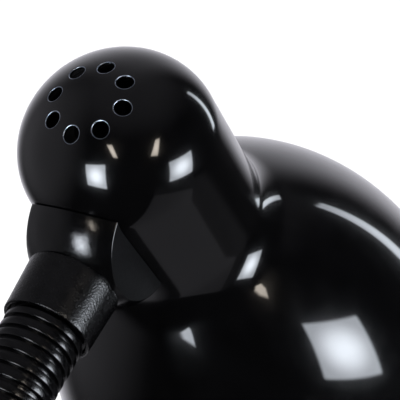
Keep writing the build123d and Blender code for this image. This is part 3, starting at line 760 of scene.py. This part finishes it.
# ---------------------------------------------------------------- lampholder
HOLDER_RADIUS = 19.5
CAP_END = 14.0
BODY_START = 14.05
BODY_END = 40.0
SHELL_RADIUS = 13.2
THREAD_PITCH = 3.62
THREAD_DEPTH = 0.9
THREAD_FROM = 20.3
THREAD_TO = 38.8
THREAD_FADE = 1.5
THREAD_SHEET = 0.35
HOLDER_BORE = 13.65
HOLDER_FLOOR = 16.45
HOLDER_SPIGOT = 17.3
GRIP_FROM = 19.0
GRIP_PITCH = 2.2
GRIP_DEPTH = 0.6
GRIP_COUNT = 5
CAP_BORE = 5.05
CAP_BACK = -8.55
CAP_INSIDE = -6.2
CAP_SHOULDER = 17.5


def holder_body_profile():
    """Sleeve with grip rings round its outside, and a spigot inside the cap."""
    rows = [(HOLDER_BORE, HOLDER_FLOOR), (HOLDER_SPIGOT, HOLDER_FLOOR), (HOLDER_SPIGOT, BODY_START)]
    rows += [(HOLDER_RADIUS, BODY_START, 0.3)]
    groove = HOLDER_RADIUS - GRIP_DEPTH
    for k in range(GRIP_COUNT):
        level = GRIP_FROM + k * GRIP_PITCH
        rows += [(HOLDER_RADIUS, level, 0.2), (groove, level + 0.4, 0.2)]
        rows += [(groove, level + 1.0, 0.2), (HOLDER_RADIUS, level + 1.4, 0.2)]
    rows += [(HOLDER_RADIUS, BODY_END, 1.6), (HOLDER_BORE, BODY_END, 0.5)]
    return rounded(rows, steps=3)


def holder_cap_profile():
    """Domed cap over the contact block, with a hole for the nipple."""
    rows = [(CAP_BORE, CAP_BACK), (12.0, CAP_BACK, 2.0), (CAP_SHOULDER, -5.0, 2.5)]
    rows += [(HOLDER_RADIUS, -1.0, 1.5), (HOLDER_RADIUS, CAP_END, 0.3), (CAP_SHOULDER, CAP_END)]
    rows += [(CAP_SHOULDER, 0.0), (11.0, CAP_INSIDE), (CAP_BORE, CAP_INSIDE)]
    return rounded(rows)


def thread_mesh(name):
    """Sheet brass rolled to a round screw thread."""
    turns, rows = 96, 90
    verts = []
    for sheet in (0, THREAD_SHEET):
        for part in fractions(rows):
            level = THREAD_FROM + (THREAD_TO - THREAD_FROM) * part
            fade = min(1, (level - THREAD_FROM) / THREAD_FADE, (THREAD_TO - level) / THREAD_FADE)
            for k in range(turns):
                phase = 2 * pi * level / THREAD_PITCH - 2 * pi * k / turns
                radius = SHELL_RADIUS - fade * THREAD_DEPTH * (0.5 - 0.5 * cos(phase)) + sheet
                angle = 2 * pi * k / turns
                verts.append(head_point(level, radius * cos(angle), radius * sin(angle)))
    faces = []
    layer = (rows + 1) * turns
    for row in range(rows):
        for k in range(turns):
            a, b = row * turns + k, row * turns + (k + 1) % turns
            faces.append([a, b, b + turns, a + turns])
            faces.append([layer + a, layer + a + turns, layer + b + turns, layer + b])
    for row in (0, rows):
        for k in range(turns):
            a, b = row * turns + k, row * turns + (k + 1) % turns
            faces.append([a, b, layer + b, layer + a])
    return make(name, verts, faces, radians(60))


for piece, slot, node in (
    (lathe("holder_sleeve", holder_body_profile(), centre, along, 128), "holder_plastic", "holder_body"),
    (lathe("holder_crown", holder_cap_profile(), centre, along, 128), "holder_plastic", "holder_cap"),
    (thread_mesh("screw_thread"), "brass", "screw_shell"),
):
    dress(piece, slot, node)
    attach(piece, "head")

# ---------------------------------------------------------------- base
BASE_RADIUS = 80.0
BASE_TOP = 28.0
SHOULDER = 14.0
PAD = 2.0
COVER_WALL = 1.0
SOCKET_FOOT = 16.0
PAD_RADIUS = BASE_RADIUS - 3
SWITCH_HOLE = (19.15, 13.15)
GLAND_HOLE = 4.2
GLAND_NECK = 4.15
GLAND_BORE = 3.2
GLAND_FLANGE = 5.6
GLAND_FROM = 75
GLAND_WALL = (78.7, 80.05)
GLAND_END = 83.0
BACK = Vector((0, 1, 0))
cover_rows = [(STUD_HOLE, BASE_TOP)] + [(radius, BASE_TOP) for radius in (20, 40, 60)]
cover_rows += [(BASE_RADIUS, BASE_TOP, SHOULDER), (BASE_RADIUS, PAD, 0.6), (BASE_RADIUS - COVER_WALL, PAD)]
cover_rows += [(BASE_RADIUS - COVER_WALL, BASE_TOP - COVER_WALL, SHOULDER - COVER_WALL)]
cover_rows += [(STUD_HOLE, BASE_TOP - COVER_WALL)]
base_shell = lathe("base_shell", rounded(cover_rows, steps=18), ORIGIN, UP, 192)
switch_low, switch_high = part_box("switch_body")
switch_middle = BACK * ((switch_low.y + switch_high.y) / 2)
gland_place = UP * mounts["cord_inlet"]["pos_m"][2]
gland_cut = [(0, 70), (GLAND_HOLE, 70), (GLAND_HOLE, 90), (0, 90)]
carve(
    base_shell,
    prism("switch_cutter", block(*SWITCH_HOLE), switch_middle, LATERAL, BACK, 20, 40),
    lathe("gland_cutter", gland_cut, gland_place, BACK, 64, closed=False),
)
dress(base_shell, "black_enamel", "base_cover")
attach(base_shell, "base")

socket_rows = [(STUD_HOLE, BASE_TOP), (SOCKET_FOOT, BASE_TOP, 0.4), (SOCKET_FOOT, BASE_TOP + 3, 0.8)]
socket_rows += [(SOCKET_FOOT - 1.6, BASE_TOP + 5, 1.5), (COLLAR_TOP, foot_level, 0.4)]
socket_rows += [(COLLAR_BORE, foot_level, 0.3), (COLLAR_BORE, foot_level - SOCKET_DEPTH)]
socket_rows += [(STUD_HOLE, foot_level - SOCKET_DEPTH)]
pad_rows = [(0, 0), (PAD_RADIUS, 0, 0.5), (PAD_RADIUS, PAD), (0, PAD)]
inside, outside = GLAND_WALL
gland_rows = [(GLAND_BORE, GLAND_FROM, 0.3), (GLAND_FLANGE, GLAND_FROM, 0.5), (GLAND_FLANGE, inside, 0.3)]
gland_rows += [(GLAND_NECK, inside), (GLAND_NECK, outside), (GLAND_FLANGE, outside, 0.2)]
gland_rows += [(4.8, GLAND_END, 0.8), (GLAND_BORE, GLAND_END, 0.5)]
pad_profile = rounded(pad_rows, closed=False)
for piece, slot, node in (
    (lathe("neck_socket", rounded(socket_rows), ORIGIN, UP, 160), "grained_plastic", "base_socket"),
    (lathe("floor_pad", pad_profile, ORIGIN, UP, 160, closed=False), "foam_rubber", "foot_pad"),
    (lathe("cord_grommet", rounded(gland_rows), gland_place, BACK, 64), "soft_rubber", "cord_gland"),
):
    dress(piece, slot, node)
    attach(piece, "base")

# ---------------------------------------------------------------- floor, light and camera
def direction(azimuth, elevation):
    """Unit vector towards a place round the lamp: azimuth 0 is in front, at -Y, and 90 is at +X."""
    a, e = radians(azimuth), radians(elevation)
    return Vector((sin(a) * cos(e), -cos(a) * cos(e), sin(e)))


def floor_sheet():
    """Wide pale floor, left out of the mirror images in the enamel."""
    size = 60.0
    mesh = bpy.data.meshes.new("floor")
    mesh.from_pydata([(x, y, 0) for x, y in block(size, size)], [], [[0, 1, 2, 3]])
    sheet = bpy.data.objects.new("floor", mesh)
    bpy.context.scene.collection.objects.link(sheet)
    m = Nodes("floor_paper")
    m.colour(m.noise(120.0), (0.88, 0.88, 0.88), (0.90, 0.90, 0.90))
    m.roughness(m.noise(30.0), 0.85, 0.95)
    mesh.materials.append(m.done(specular_ior_level=0.0))
    sheet.visible_glossy = False


# The base's top would mirror the cards as bright patches, so they leave it and the rocker out.
spared = bpy.data.collections.new("spared_by_the_cards")
for piece in (base_shell, nodes["rocker"]):
    spared.objects.link(piece)
for member in spared.collection_objects:
    member.light_linking.link_state = "EXCLUDE"


def glow_paper(name, colour, edge, core, border):
    """Emission that is brightest in the middle of a card and fades over its border."""
    material = bpy.data.materials.new(name)
    material.use_nodes = True
    tree = material.node_tree
    tree.nodes.clear()
    place = tree.nodes.new("ShaderNodeAttribute")
    place.attribute_name = "card"
    spot = tree.nodes.new("ShaderNodeTexGradient")
    spot.gradient_type = "SPHERICAL"
    tree.links.new(place.outputs["Vector"], spot.inputs["Vector"])
    level = map_range(tree, spot.outputs["Fac"], 0, 0.9, edge, core, "SMOOTHSTEP")
    size = tree.nodes.new("ShaderNodeVectorMath")
    size.operation = "ABSOLUTE"
    apart = tree.nodes.new("ShaderNodeSeparateXYZ")
    tree.links.new(place.outputs["Vector"], size.inputs[0])
    tree.links.new(size.outputs["Vector"], apart.inputs["Vector"])
    for socket in ("X", "Y"):
        fade = map_range(tree, apart.outputs[socket], 1 - border, 1, 1, 0, "SMOOTHSTEP")
        level = arithmetic(tree, "MULTIPLY", level, fade)
    emission = tree.nodes.new("ShaderNodeEmission")
    emission.inputs["Color"].default_value = (*colour, 1)
    tree.links.new(level, emission.inputs["Strength"])
    output = tree.nodes.new("ShaderNodeOutputMaterial")
    tree.links.new(emission.outputs["Emission"], output.inputs["Surface"])
    return material


def card(name, corners, reach, colour, edge, core, border=0.12):
    """Glowing card that only shows mirrored in the lamp.

    Its corners are directions from the knuckle: top left, top right, bottom right and bottom left.
    """
    steps = 12
    places = [ball + direction(*corner) * reach for corner in corners]
    verts = []
    spots = []
    for v in fractions(steps):
        for u in fractions(steps):
            top = places[0].lerp(places[1], u)
            verts.append(top.lerp(places[3].lerp(places[2], u), v))
            spots.append((2 * u - 1, 2 * v - 1, 0))
    faces = []
    for row in range(steps):
        for column in range(steps):
            k = row * (steps + 1) + column
            faces.append([k, k + 1, k + steps + 2, k + steps + 1])
    mesh = bpy.data.meshes.new(name)
    mesh.from_pydata(verts, [], faces)
    spot = mesh.attributes.new("card", "FLOAT_VECTOR", "POINT")
    for k, place in enumerate(spots):
        spot.data[k].vector = place
    mesh.materials.append(glow_paper(name, colour, edge, core, border))
    sheet = bpy.data.objects.new(name, mesh)
    bpy.context.scene.collection.objects.link(sheet)
    sheet.visible_camera = False
    sheet.visible_shadow = False
    sheet.visible_diffuse = False
    sheet.light_linking.receiver_collection = spared


def softbox(name, azimuth, elevation, reach, width, height, strength):
    """Rectangular light that faces the lamp's head and isn't mirrored in it. Strength is per area."""
    data = bpy.data.lights.new(name, "AREA")
    data.shape = "RECTANGLE"
    data.size, data.size_y = width, height
    data.energy = strength * width * height * pi
    light = bpy.data.objects.new(name, data)
    bpy.context.scene.collection.objects.link(light)
    towards = direction(azimuth, elevation)
    turn = towards.to_track_quat("Z", "Y").to_matrix().to_4x4()
    light.matrix_world = Matrix.Translation(ball + towards * reach) @ turn
    light.visible_camera = False
    light.visible_glossy = False


def studio_world():
    """Dim room with a bright backdrop on one side, as broad soft cards seen only by direction."""
    world = bpy.data.worlds.new("studio")
    bpy.context.scene.world = world
    world.use_nodes = True
    tree = world.node_tree
    background = tree.nodes["Background"]
    place = tree.nodes.new("ShaderNodeTexCoord").outputs["Generated"]

    def toward(vector, start, end, low, high):
        """Smooth step of how far the direction leans towards a vector."""
        dot = tree.nodes.new("ShaderNodeVectorMath")
        dot.operation = "DOT_PRODUCT"
        tree.links.new(place, dot.inputs[0])
        dot.inputs[1].default_value = vector
        return map_range(tree, dot.outputs["Value"], start, end, low, high, "SMOOTHSTEP")

    def product(*factors):
        total = factors[0]
        for factor in factors[1:]:
            total = arithmetic(tree, "MULTIPLY", total, factor)
        return total

    # White paper behind the lamp, as the camera sees it, fading upwards and ending sharply on one side.
    backdrop = product(
        toward(UP, 0.1, 1.2, 0.72, 0),
        toward(direction(86, 0), -0.06, 0.3, 0, 1),
        toward(direction(340, 0), -0.18, 0.4, 0, 1),
    )
    room = toward(direction(115, 5), 0.55, 0.98, 0.015, 0.28)
    ceiling = toward(UP, 0.55, 1, 0, 0.14)
    # Floor on the lamp's right, with a lighter sheet on it that ends short of the lamp's foot.
    right_side = toward(direction(340, 0), -0.02, 0.03, 0, 1)
    clear_of_foot = toward(-UP, 0.978, 0.985, 1, 0)
    floor = product(toward(-UP, 0.32, 0.42, 0, 0.05), right_side, clear_of_foot)
    sheet = product(
        toward(-UP, 0.5, 0.54, 0, 0.13),
        toward(direction(222, 0), -0.01, 0.02, 0, 1),
        right_side,
        clear_of_foot,
    )
    total = backdrop
    for glow in (room, ceiling, floor, sheet):
        total = arithmetic(tree, "ADD", total, glow)
    tree.links.new(total, background.inputs["Strength"])
    background.inputs["Color"].default_value = (0.93, 0.92, 1.0, 1)


def camera_at(azimuth, elevation, roll, reach, target, lens):
    """The scene's camera, in a direction from its target, turned by a roll about its view."""
    data = bpy.data.cameras.new("camera")
    data.lens = lens
    data.sensor_width = 36.0
    data.clip_start, data.clip_end = 0.05, 100
    camera = bpy.data.objects.new("camera", data)
    bpy.context.scene.collection.objects.link(camera)
    back = direction(azimuth, elevation)
    turn = (-back).to_track_quat("-Z", "Y").to_matrix().to_4x4()
    roll_turn = Matrix.Rotation(radians(roll), 4, "Z")
    camera.matrix_world = Matrix.Translation(target + back * reach) @ turn @ roll_turn
    bpy.context.scene.camera = camera


bpy.context.scene.view_settings.view_transform = "Standard"
floor_sheet()
studio_world()
COOL = (0.86, 0.92, 1.0)
WARM = (1.0, 0.90, 0.78)
WINDOW_REACH = 0.9
ROOM_REACH = 1.2
left_window = [(169.3, 10), (191.5, 12.8), (196, -17.5), (173.8, -13)]
right_window = [(259.5, 7), (292.5, 9), (297, -13.5), (264, -17)]
card("window_left", left_window, WINDOW_REACH, COOL, 10, 24, 0.16)
card("window_right", right_window, WINDOW_REACH, COOL, 8, 20, 0.16)
card("strip_front", [(336.0, 39), (341.5, 36), (346.5, 0), (339.5, 0)], ROOM_REACH, COOL, 4.5, 6)
card("lamp_left", [(186.0, 33), (194.5, 33), (204, 18), (198.5, 18)], ROOM_REACH, WARM, 9, 13, 0.35)
card("lamp_right", [(247.5, 35), (254, 35), (248, 15.5), (238.5, 17)], ROOM_REACH, WARM, 9, 13, 0.25)
softbox("overhead", azimuth=0, elevation=90, reach=1.6, width=3.0, height=3.0, strength=1.9)
softbox("backdrop_fill", azimuth=32, elevation=60, reach=2.2, width=3.0, height=2.0, strength=1.6)
softbox("fill_left", azimuth=182, elevation=0, reach=0.9, width=0.3, height=0.34, strength=6.0)
softbox("fill_right", azimuth=276, elevation=-2, reach=0.9, width=0.5, height=0.38, strength=6.0)
view_centre = head_point(14.59, 2.70, -19.68)
camera_at(azimuth=212.66, elevation=17.57, roll=1.11, reach=1.0788, target=view_centre, lens=378.0)
